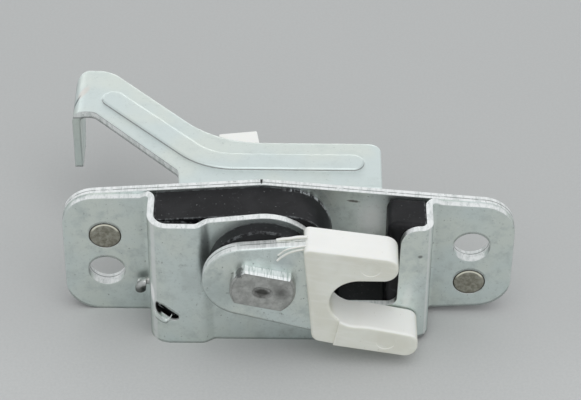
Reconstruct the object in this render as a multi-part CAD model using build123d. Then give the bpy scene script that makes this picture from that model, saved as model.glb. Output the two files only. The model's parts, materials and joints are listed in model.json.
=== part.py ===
"""Rear latch of a van's sliding door: a pressed housing riveted to a flat back plate, a
nylon-jawed fork that turns on a spindle, a black moulded body with a ratchet and pawl inside,
and a pressed release lever behind the plate.

Frame, in millimetres: the origin lies midway between the two mounting holes, on the front face
of the flanges. +X runs to the right along the plate, +Y runs back through the plate, +Z is up.
"""

from build123d import *
from math import atan2, cos, degrees, hypot, radians, sin, sqrt, tan
import os

# Sheets and plate outline
housing_sheet = 1.6
plate_sheet = 2.0
plate_half_length = 54.5
plate_corner_r = 8.5
left_top_z = 18.6
right_top_z = 16.8
bottom_z = -17.1
right_bottom_z = -14.4
bottom_knee_x = 10.0
bottom_knee_r = 12.0
plate_peak_z = 22.4
plate_peak_r = 2.0

# Mounting holes and flange rivets
hole_d = 9.0
hole_z = 4.4
rivet_z = 7.0
rivet_face_d = 7.9
rivet_sink = 1.0
rivet_shank_d = 5.6
rivet_face_edge_r = 0.3
rivet_head_d = 9.0
rivet_head_h = 1.2
rivet_head_edge = 0.4

# Pressed housing
wall_left_x = -33.5
wall_right_x = 34.2
bulge_depth = 12.0
face_depth = 10.4
bulge_right_x = -21.4
step_run = 2.3
step_lean = 0.031
step_room_w = 16.0
bend_in_r = 1.4
wide_bend_in_r = 3.4
bulge_top_z = 20.3
bulge_top_run = 0.6
arch_left_z = 20.8
arch_start_run = 0.7
arch_r = 13.6
right_top_lug_z = 18.9
lug_run = 2.5
lug_flank_h = 0.9
shoulder_run = 2.0
shoulder_h = 0.6
outline_r = 1.0
notch_left_x = 8.0
notch_right_x = 26.2
notch_lean = 0.4
notch_bottom_z = -5.2
notch_corner_r = 2.4
notch_lip_r = 4.6
lance_x = 4.6
lance_z = -7.1
lance_run = 4.2
lance_dip = 42.0
lance_w = 2.1
leg_slot_w = 3.0
leg_slot_h = 5.4

# Spindle and its stack
spindle_x = -6.0
spindle_z = 8.0
journal_r = 5.0
rear_journal_r = 3.5
running_gap = 0.05
side_gap = 0.1
washer_r = 13.0
washer_t = 3.6
washer_edge = 0.3
fork_t = 3.0
fork_edge_r = 0.5
head_r = 7.8
head_flats = 10.8
head_drop = 0.9
head_tilt = -13.0
head_t = 2.4
head_chamfer = 0.5
dimple_r = 1.5
dimple_length = 1.8
dimple_depth = 0.5
dimple_slope_deg = 50.0
drive_flats = 8.0
bush_wall = 1.4
bush_flange_r = 7.8
bush_flange_t = 1.0
rear_bush_wall = 1.5
rear_bush_flange_r = 6.6

# Fork plate and nylon jaws
fork_nose_r = 10.6
fork_nose_x = -3.7
fork_nose_z = -0.3
fork_top_deg = 6.0
fork_low_deg = 23.0
jaw_t = 8.3
jaw_rear_gap = 0.35
jaw_turning_gap = 0.5
striker_slot_w = 14.0
striker_slot_x = 16.8
striker_slot_z = 3.2
jaw_top_left_x = 3.4
jaw_top_left_z = 20.4
upper_jaw_end_x = 25.8
upper_jaw_tip_h = 6.8
lower_jaw_end_x = 31.2
lower_jaw_flat_x = 18.5
lower_jaw_fall = 3.0
jaw_low_left_x = 5.8
jaw_low_left_z = -9.0
jaw_heel_x = 10.6
jaw_heel_z = -10.2
lower_jaw_tip_h = 7.3
jaw_cover = 2.2
jaw_seam_r = 1.4
jaw_heel_r = 6.0
jaw_corner_r = 2.4
upper_tip_r = 3.4
lower_tip_r = 3.0
lower_fall_r = 14.0
jaw_raise_x = 10.9
jaw_raise_lean = 10.0
jaw_raise_h = 0.6
jaw_raise_depth = 2.0
jaw_edge_r = 0.7
ejector_r = 2.3
ejector_depth = 0.15
upper_ejector_x = 19.3
upper_ejector_z = 14.3
lower_ejector_x = 23.5
lower_ejector_z = -8.7
prong_top_drop = 0.6
prong_fall = 2.8
prong_short = 2.0
prong_low_x = 6.5
prong_low_z = -8.0
prong_rise = 0.6

# Black moulded body and striker buffer
body_round_r = 16.5
body_gap = 0.15
body_top_drop = 0.5
body_bottom_z = -14.4
body_corner_r = 2.0
body_shoulder_r = 9.0
body_nose_top_drop = 3.0
body_nose_gap = 1.0
cavity_gap = 0.8
cavity_wall = 1.4
cavity_side_gap = 0.4
cavity_right_room = 3.2
cavity_corner_r = 2.3
pawl_top_room = 1.0
leg_room = 0.6
leg_pocket = 5.4
leg_bite = 1.7
leg_pocket_gap = 0.4
buffer_left_x = 23.4
buffer_top_drop = 0.3
buffer_corner_r = 2.4
buffer_side_r = 1.4
buffer_edge_r = 1.0
buffer_foot_left_x = 11.5
buffer_foot_top_z = -6.6
buffer_foot_bottom_z = -14.0

# Ratchet, pawl and springs
ratchet_r = 9.5
tooth_r = 12.0
tooth_root_depth = 1.0
tooth_face_deg = 186.0
tooth_land_deg = 8.0
tooth_ramp_deg = 28.0
tooth_ramp_steps = 6
ratchet_t = 4.6
ratchet_front_gap = 0.2
pawl_x = -18.5
pawl_z = -7.5
pawl_boss_r = 4.6
pawl_t = 4.0
pawl_nose_gap_deg = 3.4
pawl_nose_in_r = 9.9
pawl_nose_out_r = 14.2
pawl_back_x = 4.3
pawl_back_z = 1.0
pawl_front_x = 3.0
pawl_front_z = 2.4
pawl_lift_deg = 10.7
pawl_shaft_r = 3.0
pawl_shaft_flats = 4.8
coil_pitch = 1.06
coil_sides = 8
coil_ease = 0.9
spring_gap = 0.15
hook_r = 1.3
fork_spring_r = 6.4
fork_spring_wire = 1.2
fork_spring_sides = 10
fork_leg_deg = -35.0
fork_hook_run = 1.6
fork_hook_depth = 2.0
hook_hole_gap = 0.3
pawl_spring_r = 4.4
pawl_spring_wire = 1.8
pawl_spring_sides = 6
pawl_leg_deg = 189.5
pawl_leg_reach = 3.1
pawl_hook_x = 5.5
pawl_hook_z = 6.5
pawl_hook_depth = 3.6

# Release lever
lever_sheet = 2.0
lever_gap = 0.8
lever_edge_r = 0.3
web_left_x = -26.9
web_left_lean = 0.6
web_right_x = 22.4
web_top_z = 18.0
web_bend_r = 0.6
web_rear_y = 22.45
web_corner_r = 3.2
web_notch_r = 2.2
arm_front_deg = 45.5
arm_rear_deg = 45.0
arm_rear_start_x = -17.7
arm_front_start_y = 11.6
arm_blend_r = 27.0
arm_elbow_r = 8.0
arm_inner_r = 3.0
arm_tip_x = -54.5
arm_tip_r = 3.5
tab_front_y = 34.0
tab_drop = 18.4
tab_low_w = 9.5
tab_high_w = 14.0
tab_rear_room = 2.6
tab_taper_h = 9.0
tab_corner_r = 3.0
tab_front_r = 0.8
tab_shoulder_r = 4.0
lever_tip_zone = 5.0
lever_skirt_z = 10.5
lever_skirt_r = 3.0
lever_boss_r = 7.5
lever_boss_rise = 5.5
lever_window_r = 7.0
lever_window_x = -1.5
lever_window_z = 0.6
rib_w = 5.8
rib_h = 0.6
rib_round_r = 0.5
rib_y = 15.0
rib_right_x = 15.3
rib_knee_x = -20.0
rib_knee_r = 16.0
rib_tip_x = -44.3
rib_deg = 44.5
lever_washer_r = 5.6
clip_t = 0.8
clip_width = 1.6
clip_mouth = 3.2
groove_depth = 0.5
shaft_tail = 1.0

# Rod clip on the web's rear edge
clip_block_x = -11.7
clip_block_w = 9.4
clip_block_depth = 7.4
clip_block_h = 8.4
clip_block_bite = 3.0
clip_block_drop = 0.4
clip_block_yaw = 8.5
clip_block_edge_r = 0.3
rod_d = 4.2
rod_mouth = 3.4

# Small drawing values: a sharp corner's radius, a cutter's overrun, a test for lying on a plane
sharp_r = 0.1
overrun = 1.0
near = 0.01

# Levels along Y, front to back
plate_front_y = housing_sheet
plate_rear_y = plate_front_y + plate_sheet
face_y = -face_depth
bulge_y = -bulge_depth
face_inner_y = face_y + housing_sheet
bulge_inner_y = bulge_y + housing_sheet
washer_front_y = face_y - washer_t
fork_rear_y = washer_front_y - side_gap
fork_front_y = fork_rear_y - fork_t
head_front_y = fork_front_y - head_t
jaw_rear_y = face_y - jaw_rear_gap
jaw_front_y = jaw_rear_y - jaw_t
upper_jaw_end_z = striker_slot_z + striker_slot_w / 2 + upper_jaw_tip_h
jaw_low_right_z = striker_slot_z - striker_slot_w / 2 - lower_jaw_fall - lower_jaw_tip_h
body_front_y = face_inner_y + body_gap
body_rear_y = plate_front_y - side_gap
cavity_front_y = body_front_y + cavity_wall
ratchet_front_y = cavity_front_y + ratchet_front_gap
ratchet_rear_y = ratchet_front_y + ratchet_t
rear_flange_y = plate_front_y - bush_flange_t
pawl_front_y = ratchet_front_y
pawl_rear_y = pawl_front_y + pawl_t
lever_front_y = plate_rear_y + lever_gap
lever_rear_y = lever_front_y + lever_sheet
shaft_groove_y = lever_rear_y + side_gap
shaft_end_y = shaft_groove_y + clip_t + shaft_tail
spindle_groove_y = plate_rear_y + side_gap
spindle_end_y = spindle_groove_y + clip_t + shaft_tail

# Places worked out from those values
hole_x = (plate_half_length + wall_right_x) / 2
face_left_x = bulge_right_x + step_run
fork_spring_y = ratchet_rear_y + spring_gap + fork_spring_wire / 2
pawl_spring_y = pawl_rear_y + spring_gap + pawl_spring_wire / 2
tab_rear_y = tab_front_y + tab_high_w + tab_rear_room


def slab(face, front_y, rear_y):
    """Solid between two Y levels, from a face drawn in X and Z."""
    return extrude(Plane.XZ.offset(-rear_y) * face, amount=rear_y - front_y)


def disc(x, z, radius, front_y, rear_y):
    return slab(Pos(x, z) * Circle(radius), front_y, rear_y)


def ring(x, z, outer_r, inner_r, front_y, rear_y):
    return slab(Pos(x, z) * (Circle(outer_r) - Circle(inner_r)), front_y, rear_y)


def edges_at(body, y):
    """Edges that lie in the plane across Y at y."""
    return body.edges().filter_by(lambda e: abs(e.center().Y - y) < near)


def closed_face(points, radii):
    """Face inside straight sides whose corners are rounded one by one."""
    return make_face(FilletPolyline(*points, radius=list(radii), close=True))


def double_flat(radius, flats, angle=0.0):
    """Round section with two parallel flats."""
    return Rot(0, 0, angle) * (Circle(radius) & Rectangle(4 * radius, flats))


def polar(radius, angle):
    """Point at an angle in degrees, anticlockwise from +X as seen from the front."""
    return (radius * cos(radians(angle)), radius * sin(radians(angle)))


def folded_strip(points, in_radii, thickness):
    """Section of a folded strip: points run along its first face, and its thickness lies to the
    left of that run. in_radii holds each bend's inner radius."""
    count = len(points)
    turns = []
    for i in range(1, count - 1):
        before = (points[i][0] - points[i - 1][0], points[i][1] - points[i - 1][1])
        after = (points[i + 1][0] - points[i][0], points[i + 1][1] - points[i][1])
        turns.append(atan2(before[0] * after[1] - before[1] * after[0],
                           before[0] * after[0] + before[1] * after[1]))
    other = []
    for i, (x, y) in enumerate(points):
        a = points[i] if i == 0 else points[i - 1]
        b = points[1] if i == 0 else points[i]
        run = hypot(b[0] - a[0], b[1] - a[1])
        along = ((b[0] - a[0]) / run, (b[1] - a[1]) / run)
        half = turns[i - 1] / 2 if 0 < i < count - 1 else 0.0
        shift = tan(half)
        other.append((x + thickness * (-along[1] - shift * along[0]),
                      y + thickness * (along[0] - shift * along[1])))
    first = [r + (thickness if turn > 0 else 0.0) for r, turn in zip(in_radii, turns)]
    second = [r + (thickness if turn < 0 else 0.0) for r, turn in zip(in_radii, turns)]
    outline = list(points) + other[::-1]
    radii = [sharp_r] + first + [sharp_r, sharp_r] + second[::-1] + [sharp_r]
    return closed_face(outline, radii)


def ring_clip(x, z, groove_r, front_y):
    """Open retaining ring seated in a groove, its mouth pointing down."""
    body = ring(x, z, groove_r + clip_width, groove_r, front_y, front_y + clip_t)
    mouth = Pos(x, z - groove_r - clip_width / 2) * Rectangle(clip_mouth, 2 * groove_r)
    return body - slab(mouth, front_y, front_y + clip_t)


def round_wire(points, wire_d, bend_radii):
    """Round wire along straight runs joined by arcs."""
    path = FilletPolyline(*points, radius=list(bend_radii))
    section = Plane(origin=path @ 0, z_dir=path % 0) * Circle(wire_d / 2)
    return sweep(section, path=path)


def coil_corners(x, z, radius, wire_d, sides, first_deg, side_deg, front_y):
    """Corners of straight sides round a coil about Y, side_deg apart and rising from front_y."""
    corner_r = radius / cos(radians(side_deg / 2))
    rise = wire_d * coil_pitch * abs(side_deg) / 360
    corners = []
    for i in range(sides):
        across, up = polar(corner_r, first_deg + i * side_deg)
        corners.append((x + across, front_y + i * rise, z + up))
    return corners


def plate_outline():
    points = [(-plate_half_length, bottom_z), (bottom_knee_x, bottom_z),
              (plate_half_length, right_bottom_z), (plate_half_length, right_top_z),
              (spindle_x, plate_peak_z), (-plate_half_length, left_top_z)]
    return closed_face(points, [plate_corner_r, bottom_knee_r, plate_corner_r, plate_corner_r,
                                plate_peak_r, plate_corner_r])


def hole_points():
    return [(-hole_x, -hole_z), (hole_x, hole_z)]


def rivet_points():
    return [(-hole_x, rivet_z), (hole_x, -rivet_z)]


def make_rivet(x, z):
    """Shouldered rivet, its front end set flush into the housing and headed behind the plate."""
    body = disc(x, z, rivet_shank_d / 2, 0, plate_rear_y)
    sunk = disc(x, z, rivet_face_d / 2, 0, rivet_sink)
    body += fillet(edges_at(sunk, 0), rivet_face_edge_r)
    head = disc(x, z, rivet_head_d / 2, plate_rear_y, plate_rear_y + rivet_head_h)
    return body + chamfer(edges_at(head, plate_rear_y + rivet_head_h), rivet_head_edge)


def drill_flange(body, front_y, rear_y):
    for x, z in hole_points():
        body -= disc(x, z, hole_d / 2, front_y, rear_y)
    for x, z in rivet_points():
        body -= disc(x, z, rivet_shank_d / 2, front_y, rear_y)
        if front_y < rivet_sink:
            body -= disc(x, z, rivet_face_d / 2, front_y, rivet_sink)
    return body


def make_back_plate():
    body = slab(plate_outline(), plate_front_y, plate_rear_y)
    body = drill_flange(body, plate_front_y, plate_rear_y)
    body -= disc(spindle_x, spindle_z, rear_journal_r + rear_bush_wall, plate_front_y, plate_rear_y)
    return body - disc(pawl_x, pawl_z, pawl_shaft_r + running_gap, plate_front_y, plate_rear_y)


def housing_outline():
    """Front view of the housing with its arch and its striker notch."""
    arch_left_x = face_left_x + arch_start_run
    arch_slope = (plate_peak_z - arch_left_z) / (spindle_x - arch_left_x)
    arch_corner_z = plate_peak_z + arch_slope * (notch_left_x - spindle_x)
    points = [(-plate_half_length, bottom_z), (bottom_knee_x, bottom_z),
              (plate_half_length, right_bottom_z), (plate_half_length, right_top_z),
              (wall_right_x + lug_run, right_top_lug_z - lug_flank_h), (wall_right_x, right_top_lug_z),
              (notch_right_x + notch_lean, right_top_lug_z), (notch_right_x, notch_bottom_z),
              (notch_left_x, notch_bottom_z), (notch_left_x, arch_corner_z), (arch_left_x, arch_left_z),
              (bulge_right_x - bulge_top_run, bulge_top_z), (wall_left_x, bulge_top_z),
              (wall_left_x - shoulder_run, left_top_z + shoulder_h), (-plate_half_length, left_top_z)]
    radii = [plate_corner_r, bottom_knee_r, plate_corner_r, plate_corner_r, outline_r, outline_r,
             notch_lip_r, notch_corner_r, notch_corner_r, arch_r, outline_r, outline_r, outline_r,
             outline_r, plate_corner_r]
    return closed_face(points, radii)


def make_front_housing():
    runs = [(-plate_half_length - overrun, 0), (wall_left_x, 0), (wall_left_x, bulge_y),
            (bulge_right_x, bulge_y), (face_left_x, face_y), (wall_right_x, face_y), (wall_right_x, 0),
            (plate_half_length + overrun, 0)]
    bends = [bend_in_r, wide_bend_in_r, bend_in_r, bend_in_r, bend_in_r, bend_in_r]
    section = folded_strip(runs, bends, housing_sheet)
    tall = plate_peak_z - bottom_z + 2 * overrun
    upright = Pos(0, 0, bottom_z - overrun) * extrude(section, amount=tall)
    foot = Pos(step_lean * tall, 0, bottom_z - overrun)
    leaning = foot * extrude(section, amount=hypot(tall, step_lean * tall), dir=(-step_lean, 0, 1))
    middle = (wall_left_x + spindle_x) / 2
    step_room = Pos(middle, 0, 0) * Box(step_room_w, 4 * bulge_depth, 2 * tall)
    strip = (upright - step_room) + (leaning & step_room)
    body = strip & slab(housing_outline(), bulge_y - overrun, plate_front_y + overrun)
    body = drill_flange(body, 0, plate_front_y)
    body -= disc(spindle_x, spindle_z, journal_r + running_gap + bush_wall, face_y - overrun,
                 face_inner_y + overrun)
    leg = pawl_spring_points()[0]
    body -= Pos(wall_left_x, leg[1], leg[2]) * Box(3 * housing_sheet, leg_slot_w, leg_slot_h)
    lance = SlotCenterToCenter(lance_run, lance_w)
    lance = Pos(wall_left_x + lance_x, lance_z) * Rot(0, 0, -lance_dip) * lance
    return body - slab(lance, bulge_y - overrun, bulge_inner_y + overrun)


def make_spindle():
    """Headed spindle: double-D seats for the fork and the ratchet, journals between them."""
    at = Pos(spindle_x, spindle_z)
    head_at = Pos(spindle_x, spindle_z - head_drop)
    head = slab(head_at * double_flat(head_r, head_flats, head_tilt), head_front_y, fork_front_y)
    head = chamfer(edges_at(head, head_front_y), head_chamfer)
    dimple = head_at * Rot(0, 0, head_tilt) * SlotCenterToCenter(dimple_length, 2 * dimple_r)
    dimple = Plane.XZ.offset(-head_front_y) * dimple
    head -= extrude(dimple, amount=-dimple_depth, taper=dimple_slope_deg)
    flats = at * double_flat(journal_r, drive_flats, head_tilt)
    body = head + slab(flats, fork_front_y, fork_rear_y)
    body += disc(spindle_x, spindle_z, journal_r, fork_rear_y, ratchet_front_y)
    body += slab(flats, ratchet_front_y, ratchet_rear_y)
    body += disc(spindle_x, spindle_z, rear_journal_r, ratchet_rear_y, spindle_end_y)
    return body - ring(spindle_x, spindle_z, rear_journal_r + overrun, rear_journal_r - groove_depth,
                       spindle_groove_y, spindle_groove_y + clip_t)


def jaw_slot_face(grow):
    """Striker slot, wider than the real one by grow; its lower side falls away to the right."""
    half = striker_slot_w / 2 + grow
    reach = 2 * lower_jaw_end_x
    top = striker_slot_z + half
    low = striker_slot_z - half
    fall = lower_jaw_fall * (reach - lower_jaw_flat_x) / (lower_jaw_end_x - lower_jaw_flat_x)
    floor = FilletPolyline((striker_slot_x, low), (lower_jaw_flat_x, low), (reach, low - fall),
                           radius=lower_fall_r)
    rest = Polyline((reach, low - fall), (reach, top), (striker_slot_x, top), (striker_slot_x, low))
    return make_face(floor + rest) + Pos(striker_slot_x, striker_slot_z) * Circle(half)


def round_corner(face, x, z, radius):
    """Rounds the face's corner nearest to a point."""
    return fillet(face.vertices().sort_by_distance((x, z, 0))[0], radius)


def jaw_face():
    """Front view of the nylon jaws: both tips are round, and the upper one is shorter."""
    points = [(jaw_top_left_x, jaw_top_left_z), (upper_jaw_end_x, upper_jaw_end_z),
              (upper_jaw_end_x, striker_slot_z), (lower_jaw_end_x, striker_slot_z),
              (lower_jaw_end_x, jaw_low_right_z), (jaw_heel_x, jaw_heel_z),
              (jaw_low_left_x, jaw_low_left_z)]
    radii = [jaw_seam_r, upper_tip_r, sharp_r, sharp_r, lower_tip_r, jaw_heel_r, jaw_corner_r]
    face = closed_face(points, radii) - jaw_slot_face(0)
    face = round_corner(face, upper_jaw_end_x, striker_slot_z + striker_slot_w / 2, upper_tip_r)
    return round_corner(face, lower_jaw_end_x, striker_slot_z - striker_slot_w / 2 - lower_jaw_fall,
                        lower_tip_r)


def fork_plate_face():
    """Rounded nose about the spindle, with two steel prongs inside the jaws."""
    cx = spindle_x + fork_nose_x
    cz = spindle_z + fork_nose_z
    nose = Pos(cx, cz) * Circle(fork_nose_r)
    top = (cx - fork_nose_r * sin(radians(fork_top_deg)), cz + fork_nose_r * cos(radians(fork_top_deg)))
    low = (cx - fork_nose_r * sin(radians(fork_low_deg)), cz - fork_nose_r * cos(radians(fork_low_deg)))
    upper_end = upper_jaw_end_x - jaw_cover
    lower_end = lower_jaw_end_x - jaw_cover - prong_short
    prongs = make_face(Polyline(top, (jaw_top_left_x + overrun, jaw_top_left_z - prong_top_drop),
                                (upper_end, jaw_top_left_z - jaw_cover - prong_fall),
                                (upper_end, striker_slot_z), (lower_end, striker_slot_z),
                                (lower_end, jaw_low_right_z + jaw_cover + prong_rise),
                                (prong_low_x, prong_low_z), low, close=True))
    return nose + prongs - jaw_slot_face(jaw_cover)


def make_fork_plate():
    body = slab(fork_plate_face(), fork_front_y, fork_rear_y)
    nose_rim = edges_at(body, fork_front_y).filter_by(lambda e: e.center().X < jaw_top_left_x)
    body = fillet(nose_rim, fork_edge_r)
    return body - slab(Pos(spindle_x, spindle_z) * double_flat(journal_r, drive_flats, head_tilt),
                       fork_front_y, fork_rear_y)


def jaw_raise_face():
    """Part of the lower jaw that stands proud, to the right of a leaning line."""
    beyond = 2 * lower_jaw_end_x
    right = Rectangle(beyond, 2 * beyond, align=(Align.MIN, Align.CENTER))
    below = Pos(0, striker_slot_z) * Rectangle(2 * beyond, beyond, align=(Align.CENTER, Align.MAX))
    return jaw_face() & (Pos(jaw_raise_x, jaw_heel_z) * Rot(0, 0, -jaw_raise_lean) * right) & below


def make_fork_jaws():
    """Nylon moulded round the prongs, its lower jaw raised at the front, with ejector marks."""
    raise_front_y = jaw_front_y - jaw_raise_h
    body = slab(jaw_face(), jaw_front_y, jaw_rear_y)
    body = fillet(edges_at(body, jaw_front_y), jaw_edge_r)
    raised = slab(jaw_raise_face(), raise_front_y, jaw_front_y + jaw_raise_depth)
    rim = edges_at(raised, raise_front_y).filter_by(lambda e: e.center().X > jaw_raise_x + overrun)
    body += fillet(rim, jaw_edge_r)
    body -= slab(fork_plate_face(), fork_front_y, fork_rear_y)
    body -= disc(spindle_x, spindle_z, washer_r + jaw_turning_gap, fork_rear_y, jaw_rear_y)
    body -= disc(upper_ejector_x, upper_ejector_z, ejector_r, jaw_front_y, jaw_front_y + ejector_depth)
    return body - disc(lower_ejector_x, lower_ejector_z, ejector_r, raise_front_y,
                       raise_front_y + ejector_depth)


def make_thrust_washer():
    body = ring(spindle_x, spindle_z, washer_r, journal_r + running_gap, washer_front_y, face_y)
    rim = edges_at(body, washer_front_y).sort_by(SortBy.RADIUS)[-1]
    return chamfer(rim, washer_edge)


def make_front_bush():
    outer = journal_r + running_gap + bush_wall
    body = disc(spindle_x, spindle_z, outer, face_y, face_inner_y)
    body += disc(spindle_x, spindle_z, bush_flange_r, face_inner_y, face_inner_y + bush_flange_t)
    return body - disc(spindle_x, spindle_z, journal_r + running_gap, face_y, face_inner_y + bush_flange_t)


def make_rear_bush():
    body = disc(spindle_x, spindle_z, rear_journal_r + rear_bush_wall, rear_flange_y, plate_rear_y)
    body += disc(spindle_x, spindle_z, rear_bush_flange_r, rear_flange_y, plate_front_y)
    return body - disc(spindle_x, spindle_z, rear_journal_r + running_gap, rear_flange_y, plate_rear_y)


def ratchet_face():
    """Disc with one tooth: a steep locking face, a short land and a long ramp."""
    land_end = tooth_face_deg - tooth_land_deg
    points = [(0, 0), polar(ratchet_r - tooth_root_depth, tooth_face_deg), polar(tooth_r, tooth_face_deg),
              polar(tooth_r, land_end)]
    for i in range(1, tooth_ramp_steps + 1):
        share = i / tooth_ramp_steps
        points.append(polar(tooth_r + (ratchet_r - tooth_r) * share, land_end - tooth_ramp_deg * share))
    return Circle(ratchet_r) + make_face(Polyline(*points, close=True))


def make_ratchet():
    """Ratchet on the spindle's flats, with the hole that takes the fork spring's hook."""
    face = ratchet_face() - double_flat(journal_r, drive_flats, head_tilt)
    body = slab(Pos(spindle_x, spindle_z) * face, ratchet_front_y, ratchet_rear_y)
    hook = fork_spring_points()[0]
    return body - disc(hook[0], hook[2], fork_spring_wire / 2 + hook_hole_gap, ratchet_front_y,
                       ratchet_rear_y)


def make_pawl():
    """Strut with its nose clear of the tooth, turned from its locked place by the lift."""
    nose_deg = tooth_face_deg + pawl_nose_gap_deg
    points = []
    for radius in (pawl_nose_in_r, pawl_nose_out_r):
        across, up = polar(radius, nose_deg)
        points.append((across + spindle_x - pawl_x, up + spindle_z - pawl_z))
    points += [(-pawl_back_x, pawl_back_z), (pawl_front_x, pawl_front_z)]
    face = Circle(pawl_boss_r) + make_face(Polyline(*points, close=True))
    face -= double_flat(pawl_shaft_r, pawl_shaft_flats)
    return slab(Pos(pawl_x, pawl_z) * Rot(0, 0, pawl_lift_deg) * face, pawl_front_y, pawl_rear_y)


def make_pawl_shaft():
    flats = Pos(pawl_x, pawl_z) * Rot(0, 0, pawl_lift_deg) * double_flat(pawl_shaft_r, pawl_shaft_flats)
    body = disc(pawl_x, pawl_z, pawl_shaft_r, body_front_y + running_gap, pawl_front_y)
    body += slab(flats, pawl_front_y, pawl_rear_y)
    body += disc(pawl_x, pawl_z, pawl_shaft_r, pawl_rear_y, lever_front_y)
    body += slab(flats, lever_front_y, lever_rear_y)
    body += disc(pawl_x, pawl_z, pawl_shaft_r - groove_depth, lever_rear_y, shaft_end_y)
    return body + disc(pawl_x, pawl_z, pawl_shaft_r, shaft_groove_y + clip_t, shaft_end_y)


def cavity_face():
    """Room for the ratchet and, beside it, for the pawl with its spring."""
    left = pawl_x - pawl_hook_x - pawl_spring_wire / 2 - cavity_side_gap
    right = pawl_x + pawl_boss_r + cavity_right_room
    low = pawl_z - pawl_spring_r - pawl_spring_wire / 2 - cavity_side_gap
    high = spindle_z + pawl_top_room
    room = closed_face([(left, low), (right, low), (right, high), (left, high)], [cavity_corner_r] * 4)
    return room + Pos(spindle_x, spindle_z) * Circle(tooth_r + cavity_gap)


def make_mechanism_block():
    """Moulding that fills the housing: round at the right, with a nose in the housing's bulge."""
    left = wall_left_x + housing_sheet + body_gap
    right = spindle_x + body_round_r
    outline = Pos(spindle_x, spindle_z) * Circle(body_round_r)
    outline += closed_face([(left, body_bottom_z), (right, body_bottom_z), (right, spindle_z),
                            (spindle_x, spindle_z), (spindle_x, plate_peak_z), (left, plate_peak_z)],
                           [body_corner_r, body_corner_r, sharp_r, sharp_r, sharp_r, body_corner_r])
    limit = Pos(0, -body_top_drop) * plate_outline()
    body = slab(outline & limit, body_front_y, body_rear_y)
    shoulder = body.edges().filter_by(Axis.Y).sort_by_distance((right, face_y, plate_peak_z))[0]
    body = fillet(shoulder, body_shoulder_r)
    nose_y = bulge_inner_y + body_gap
    nose_right = bulge_right_x - housing_sheet - body_nose_gap
    nose_top = plate_peak_z - body_nose_top_drop
    nose = closed_face([(left, body_bottom_z), (nose_right, body_bottom_z), (nose_right, nose_top),
                        (left, nose_top)], [body_corner_r, outline_r, outline_r, body_corner_r])
    body += slab(nose & limit, nose_y, body_front_y)
    plan = closed_face([(left, nose_y), (right + overrun, nose_y), (right + overrun, body_rear_y),
                        (left, body_rear_y)], [wide_bend_in_r, sharp_r, sharp_r, sharp_r])
    body &= Pos(0, 0, body_bottom_z) * extrude(plan, amount=plate_peak_z - body_bottom_z)
    body -= slab(cavity_face(), cavity_front_y, body_rear_y)
    body -= disc(spindle_x, spindle_z, bush_flange_r + side_gap, body_front_y, cavity_front_y)
    body -= disc(pawl_x, pawl_z, pawl_shaft_r + running_gap, body_front_y, cavity_front_y)
    leg = pawl_spring_points()
    body -= straight_hole(leg[0], leg[1], pawl_spring_wire / 2 + leg_room)
    end = fork_spring_points()[-1]
    pocket_t = fork_spring_wire + 2 * leg_pocket_gap
    return body - Pos(end[0], end[1], end[2]) * Box(leg_pocket, pocket_t, leg_pocket)


def straight_hole(start, end, radius):
    way = Vector(*end) - Vector(*start)
    return extrude(Plane(origin=start, z_dir=way) * Circle(radius), amount=way.length)


def make_striker_buffer():
    """Moulding behind the notch's right side, with a foot that runs under the striker."""
    right = wall_right_x - housing_sheet - body_gap
    face = closed_face([(buffer_left_x, buffer_foot_top_z), (buffer_left_x, plate_peak_z),
                        (right, plate_peak_z), (right, buffer_foot_bottom_z),
                        (buffer_foot_left_x, buffer_foot_bottom_z), (buffer_foot_left_x, buffer_foot_top_z)],
                       [buffer_edge_r] * 6)
    limit = Pos(0, -buffer_top_drop) * plate_outline()
    body = slab(face & limit, body_front_y, body_rear_y)
    corner = body.edges().filter_by(Axis.Y).sort_by_distance((buffer_left_x, face_y, right_top_lug_z))[0]
    body = fillet(corner, buffer_corner_r)
    sides = body.edges().filter_by(Axis.Z).filter_by(lambda e: abs(e.center().X - buffer_left_x) < near)
    return fillet(sides, buffer_side_r)


def fork_spring_points():
    """Hook into the ratchet, coil behind it, and a straight leg into the moulded body."""
    side_deg = 360 / coil_sides
    leg_run = sqrt((tooth_r + cavity_gap + leg_bite) ** 2 - fork_spring_r ** 2)
    leave_deg = fork_leg_deg - degrees(atan2(leg_run, fork_spring_r))
    first_deg = leave_deg - side_deg / 2 - (fork_spring_sides - 1) * side_deg
    corners = coil_corners(spindle_x, spindle_z, fork_spring_r, fork_spring_wire, fork_spring_sides,
                           first_deg, side_deg, fork_spring_y)
    across, up = polar(fork_spring_r, first_deg - side_deg / 2)
    back_x, back_z = polar(fork_hook_run, first_deg - side_deg / 2 - 90)
    start = (spindle_x + across + back_x, fork_spring_y, spindle_z + up + back_z)
    hook = (start[0], ratchet_rear_y - fork_hook_depth, start[2])
    across, up = polar(fork_spring_r, leave_deg)
    out_x, out_z = polar(leg_run, leave_deg + 90)
    end = (spindle_x + across + out_x, corners[-1][1], spindle_z + up + out_z)
    return [hook, start] + corners + [end]


def make_fork_spring():
    points = fork_spring_points()
    bends = [hook_r] + [fork_spring_r * coil_ease] * fork_spring_sides
    return round_wire(points, fork_spring_wire, bends)


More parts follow.
